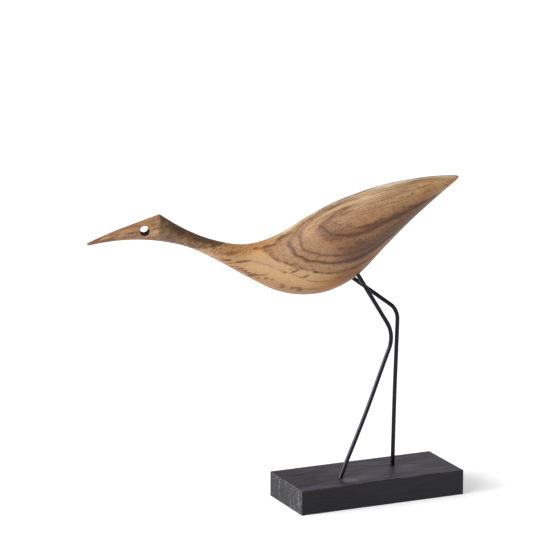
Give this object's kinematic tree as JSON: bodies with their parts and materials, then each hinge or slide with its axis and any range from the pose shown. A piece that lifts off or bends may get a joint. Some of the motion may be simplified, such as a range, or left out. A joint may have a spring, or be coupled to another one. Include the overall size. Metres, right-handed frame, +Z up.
{
  "type": "wooden heron figure",
  "caption": "Stylised wooden heron reaching forward, with a drilled eye, standing on bent wire legs set in a black wooden block.",
  "frame": {"origin": "centre of the block's underside, on the table", "axes": "+X along the block, from the beak's end to the tail's end; +Y across the block, to the bird's right; +Z up"},
  "size_m": [0.2783, 0.0953, 0.2555],
  "materials": {
    "bird_wood": "warm brown wood with a bold growth-ring figure, oiled, satin",
    "black_wire": "satin black coated steel wire",
    "black_stained_wood": "black-stained open-grained wood, matt"
  },
  "bodies": {
    "root": {"bird_body": "bird_wood", "left_leg": "black_wire", "right_leg": "black_wire", "base_block": "black_stained_wood"}
  },
  "joints": []
}
